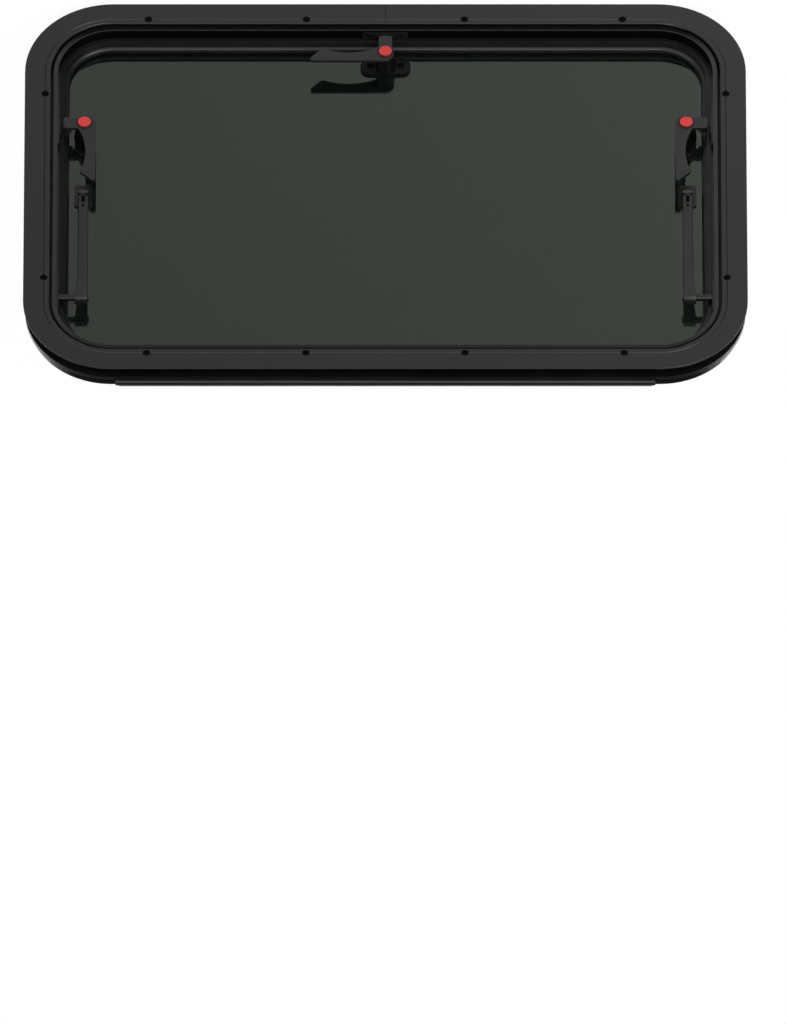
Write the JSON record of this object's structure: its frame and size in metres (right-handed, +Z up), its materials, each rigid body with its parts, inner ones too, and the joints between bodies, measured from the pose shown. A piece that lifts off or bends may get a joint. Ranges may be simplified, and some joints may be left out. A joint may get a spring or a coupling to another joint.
{
  "type": "hinged caravan window",
  "caption": "Top-hung push-out window with a clamped aluminium frame, double acrylic sash, turn latches and telescopic stays.",
  "frame": {"origin": "on the outer flange's wall-side face, in the middle of the bottom flange", "axes": "+Z up to the hinge, +X to the right as seen from the room, +Y out of the vehicle"},
  "size_m": [0.734, 0.044, 0.4862],
  "materials": {
    "frame_black": "satin black powder coat",
    "stay_black": "satin black paint",
    "seal_rubber": "smooth extruded rubber",
    "sash_acrylic": "dark tinted glossy acrylic",
    "latch_plastic": "fine matte moulded plastic",
    "button_red": "satin moulded plastic"
  },
  "bodies": {
    "frame": {"clamp_ring": "frame_black", "outer_frame": "frame_black", "frame_seal": "seal_rubber", "hinge_rail": "frame_black", "hinge_end_caps": "latch_plastic", "catch_plate_bottom": "frame_black", "catch_plate_left": "frame_black", "catch_plate_right": "frame_black", "stay_wall_plate_left": "stay_black", "stay_wall_plate_right": "stay_black"},
    "sash": {"inner_pane": "sash_acrylic", "outer_pane": "sash_acrylic", "hinge_leaf": "frame_black", "latch_base_bottom": "latch_plastic", "latch_base_left": "latch_plastic", "latch_base_right": "latch_plastic", "stay_bracket_left": "stay_black", "stay_bracket_right": "stay_black"},
    "lever_bottom": {"latch_lever_bottom": "latch_plastic"},
    "button_bottom": {"latch_button_bottom": "button_red"},
    "lever_left": {"latch_lever_left": "latch_plastic"},
    "button_left": {"latch_button_left": "button_red"},
    "lever_right": {"latch_lever_right": "latch_plastic"},
    "button_right": {"latch_button_right": "button_red"},
    "tube_left": {"stay_block_left": "latch_plastic", "stay_tube_left": "stay_black"},
    "rod_left": {"stay_rod_left": "stay_black"},
    "tube_right": {"stay_block_right": "latch_plastic", "stay_tube_right": "stay_black"},
    "rod_right": {"stay_rod_right": "stay_black"}
  },
  "joints": [
    {"name": "sash_hinge", "type": "hinge", "parent": "frame", "child": "sash", "pos_m": [0, 0.007, 0.4725], "axis": [1, 0, 0], "range_deg": [0, 45], "deforming": ["frame_seal"]},
    {"name": "lever_bottom_turn", "type": "hinge", "parent": "sash", "child": "lever_bottom", "pos_m": [0, 0, 0.0535], "axis": [0, -1, 0], "range_deg": [0, 90]},
    {"name": "button_bottom_press", "type": "slide", "parent": "lever_bottom", "child": "button_bottom", "axis": [0, 1, 0], "range_m": [0, 0.0015], "stiffness_N_per_m": 300},
    {"name": "lever_left_turn", "type": "hinge", "parent": "sash", "child": "lever_left", "pos_m": [-0.306, 0, 0.148], "axis": [0, 1, 0], "range_deg": [0, 90]},
    {"name": "button_left_press", "type": "slide", "parent": "lever_left", "child": "button_left", "axis": [0, 1, 0], "range_m": [0, 0.0015], "stiffness_N_per_m": 300},
    {"name": "lever_right_turn", "type": "hinge", "parent": "sash", "child": "lever_right", "pos_m": [0.306, 0, 0.148], "axis": [0, -1, 0], "range_deg": [0, 90]},
    {"name": "button_right_press", "type": "slide", "parent": "lever_right", "child": "button_right", "axis": [0, 1, 0], "range_m": [0, 0.0015], "stiffness_N_per_m": 300},
    {"name": "stay_left_swing", "type": "hinge", "parent": "frame", "child": "tube_left", "pos_m": [-0.307, -0.0065, 0.373], "axis": [1, 0, 0], "range_deg": [0, 64]},
    {"name": "stay_left_fold", "type": "hinge", "parent": "sash", "child": "rod_left", "pos_m": [-0.307, 0.0025, 0.225], "axis": [1, 0, 0], "range_deg": [0, 19]},
    {"name": "stay_right_swing", "type": "hinge", "parent": "frame", "child": "tube_right", "pos_m": [0.307, -0.0065, 0.373], "axis": [1, 0, 0], "range_deg": [0, 64]},
    {"name": "stay_right_fold", "type": "hinge", "parent": "sash", "child": "rod_right", "pos_m": [0.307, 0.0025, 0.225], "axis": [1, 0, 0], "range_deg": [0, 19]}
  ],
  "couplings": [
    {"joint": "stay_left_swing", "follows": "sash_hinge", "ratio": 1.4114},
    {"joint": "stay_left_fold", "follows": "sash_hinge", "ratio": 0.4114},
    {"joint": "stay_right_swing", "follows": "sash_hinge", "ratio": 1.4114},
    {"joint": "stay_right_fold", "follows": "sash_hinge", "ratio": 0.4114}
  ]
}
